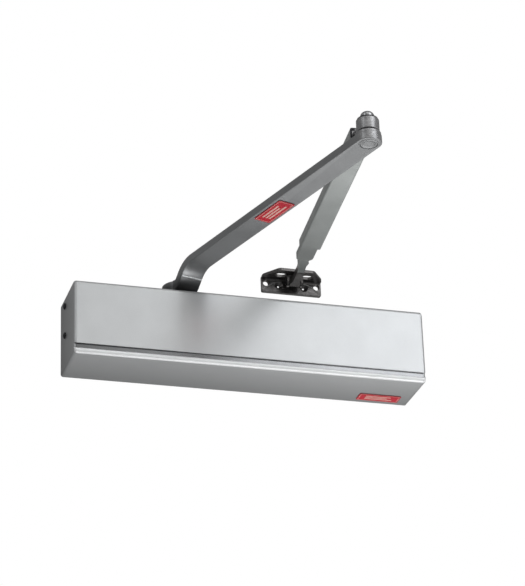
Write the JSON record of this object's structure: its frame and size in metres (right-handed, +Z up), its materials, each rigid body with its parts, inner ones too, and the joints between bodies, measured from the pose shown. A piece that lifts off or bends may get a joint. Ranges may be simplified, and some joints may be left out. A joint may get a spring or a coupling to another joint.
{
  "type": "door closer",
  "caption": "Surface-mounted hydraulic door closer: boxed metal cover over a rack-and-pinion body, gooseneck main arm, adjustable forearm and swivel shoe.",
  "frame": {"origin": "centre of the body casting's mounting face, on the plane of the door", "axes": "+X along the closer towards the spring end, +Y into the door, +Z up towards the arm"},
  "size_m": [0.3144, 0.3075, 0.1181],
  "materials": {
    "cover": "satin silver paint",
    "arm_paint": "satin grey metallic paint",
    "knuckle": "painted rough casting",
    "casting": "painted rough casting",
    "shoe": "dark gloss plating",
    "label": "plain red label with pale blocks",
    "spring": "oiled spring wire",
    "brass": "machined",
    "rubber": "moulded",
    "dark_steel": "blackened",
    "rivet": "painted over rivet",
    "cap_nut": "bright zinc",
    "steel": "machined"
  },
  "bodies": {
    "body": {"body_casting": "casting", "cover_end_left": "cover", "cover_end_right": "cover", "cover_label": "label", "cover_screw_1": "steel", "cover_screw_2": "steel", "cover_screw_3": "steel", "cover_screw_4": "steel", "cover_shell": "cover", "inner_spring": "spring", "left_end_plug": "steel", "left_plug_seal": "rubber", "lower_bearing": "steel", "lower_bearing_cap": "steel", "lower_thrust_washer": "brass", "outer_spring": "spring", "right_end_plug": "steel", "right_plug_seal": "rubber", "spindle_seal": "rubber", "upper_bearing": "steel", "upper_bearing_cap": "steel", "upper_thrust_washer": "brass"},
    "main_arm": {"main_arm": "arm_paint", "pinion_shaft": "steel", "hub_screw": "steel", "hub_washer": "steel", "arm_label": "label", "elbow_rivet": "rivet", "elbow_lower_washer": "dark_steel", "elbow_upper_washer": "dark_steel", "elbow_cap_nut": "cap_nut"},
    "piston": {"piston": "steel", "check_ball": "steel", "check_ball_retainer": "brass"},
    "forearm": {"forearm_tube": "arm_paint", "elbow_knuckle": "knuckle", "elbow_bush": "brass"},
    "adjusting_bar": {"adjusting_bar": "arm_paint", "forearm_clamp_screw": "steel"},
    "yoke": {"shoe_yoke": "shoe", "yoke_pin": "dark_steel"},
    "shoe": {"arm_shoe": "shoe", "swivel_rivet": "dark_steel"},
    "power_screw": {"power_screw": "steel"},
    "spring_seat": {"spring_seat": "steel"},
    "sweep_valve": {"sweep_valve": "brass", "sweep_valve_seal": "rubber"},
    "latch_valve": {"latch_valve": "brass", "latch_valve_seal": "rubber"},
    "backcheck_valve": {"backcheck_valve": "brass", "backcheck_valve_seal": "rubber"}
  },
  "joints": [
    {"name": "main_arm_swing", "type": "hinge", "parent": "body", "child": "main_arm", "pos_m": [-0.058, -0.027, 0.04], "axis": [0, 0, 1], "range_deg": [0, 180], "stiffness_Nm_per_rad": 4, "springref_deg": -57.3},
    {"name": "piston_slide", "type": "slide", "parent": "body", "child": "piston", "axis": [1, 0, 0], "range_m": [0, 0.0283], "deforming": ["outer_spring", "inner_spring"]},
    {"name": "elbow", "type": "hinge", "parent": "main_arm", "child": "forearm", "pos_m": [0.02718, -0.29688, 0.0705], "axis": [0, 0, 1], "range_deg": [-150, 20]},
    {"name": "forearm_adjust", "type": "slide", "parent": "forearm", "child": "adjusting_bar", "axis": [0.0885, 0.9961, 0], "range_m": [-0.025, 0.03]},
    {"name": "shoe_tilt", "type": "hinge", "parent": "adjusting_bar", "child": "yoke", "pos_m": [0.0525, -0.012, 0.0706], "axis": [0.9961, -0.0885, 0], "range_deg": [-5, 5]},
    {"name": "shoe_swivel", "type": "hinge", "parent": "yoke", "child": "shoe", "pos_m": [0.0525, -0.012, 0.0706], "axis": [0, 0, 1], "range_deg": [-75, 75]},
    {"name": "power_screw_turn", "type": "hinge", "parent": "body", "child": "power_screw", "pos_m": [0.137, -0.027, 0], "axis": [1, 0, 0], "range_deg": [-720, 720]},
    {"name": "spring_seat_slide", "type": "slide", "parent": "body", "child": "spring_seat", "axis": [1, 0, 0], "range_m": [-0.0025, 0.0025]},
    {"name": "sweep_valve_turn", "type": "hinge", "parent": "body", "child": "sweep_valve", "pos_m": [-0.125, -0.044, 0.0195], "axis": [1, 0, 0], "range_deg": [-180, 360]},
    {"name": "latch_valve_turn", "type": "hinge", "parent": "body", "child": "latch_valve", "pos_m": [-0.125, -0.044, -0.0195], "axis": [1, 0, 0], "range_deg": [-180, 360]},
    {"name": "backcheck_valve_turn", "type": "hinge", "parent": "body", "child": "backcheck_valve", "pos_m": [0.125, -0.044, -0.0195], "axis": [1, 0, 0], "range_deg": [-180, 360]}
  ],
  "couplings": [
    {"joint": "piston_slide", "follows": "main_arm_swing", "m_per_rad": 0.009},
    {"joint": "power_screw_turn", "follows": "spring_seat_slide", "rad_per_m": -5026.5}
  ]
}
